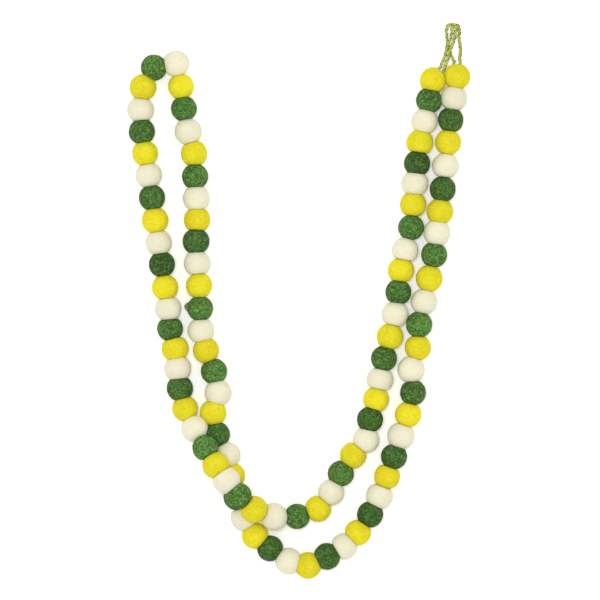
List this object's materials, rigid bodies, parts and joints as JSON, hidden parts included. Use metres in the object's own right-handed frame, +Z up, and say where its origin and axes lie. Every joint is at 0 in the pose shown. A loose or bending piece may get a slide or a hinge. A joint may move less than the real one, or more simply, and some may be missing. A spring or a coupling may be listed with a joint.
{
  "type": "felt ball garland",
  "caption": "Garland of wool felt balls threaded tight in yellow, green and cream, lying in a folded double strand, with a hanging loop of yarn at each end.",
  "frame": {"origin": "on the table, at the middle of the balls' box in plan", "axes": "+X to the right and +Y towards the hanging loops as it lies, +Z up from the table"},
  "size_m": [0.3406, 0.5554, 0.0462],
  "materials": {
    "yellow_felt": "matted wool felt",
    "green_felt": "matted wool felt, mottled",
    "cream_felt": "matted wool felt",
    "chartreuse_yarn": "crocheted yarn"
  },
  "bodies": {
    "root": {"ball_01_02": "yellow_felt", "ball_03_04": "cream_felt", "ball_05_06": "green_felt", "ball_07_08": "yellow_felt", "ball_09_10": "cream_felt", "ball_11_12": "green_felt", "ball_13_14": "yellow_felt", "ball_15_16": "cream_felt", "ball_17_18": "green_felt", "ball_19_20": "yellow_felt", "ball_21_22": "cream_felt", "ball_23_24": "green_felt", "ball_25_26": "yellow_felt", "ball_27_28": "cream_felt", "ball_29_30": "green_felt", "ball_31_32": "yellow_felt", "ball_33_34": "cream_felt", "ball_35_36": "green_felt", "ball_37_38": "yellow_felt", "ball_39_40": "cream_felt", "ball_41_42": "green_felt", "ball_43_44": "yellow_felt", "ball_45_46": "cream_felt", "ball_47_48": "green_felt", "ball_49_50": "yellow_felt", "ball_51_52": "cream_felt", "ball_53_54": "green_felt", "ball_55_56": "yellow_felt", "ball_57_58": "cream_felt", "ball_59_60": "green_felt", "ball_61_62": "yellow_felt", "ball_63_64": "cream_felt", "ball_65_66": "green_felt", "ball_67_68": "yellow_felt", "ball_69_70": "cream_felt", "ball_71_72": "green_felt", "ball_73_74": "yellow_felt", "ball_75_76": "cream_felt", "ball_77_78": "green_felt", "ball_79_80": "yellow_felt", "ball_81_82": "cream_felt", "ball_83_84": "green_felt", "ball_85_86": "yellow_felt", "ball_87_88": "cream_felt", "ball_89_90": "green_felt", "ball_91_92": "yellow_felt", "ball_93_94": "cream_felt", "ball_95_96": "green_felt", "ball_97": "yellow_felt", "loop_cord_left": "chartreuse_yarn", "loop_cord_right": "chartreuse_yarn"}
  },
  "joints": []
}
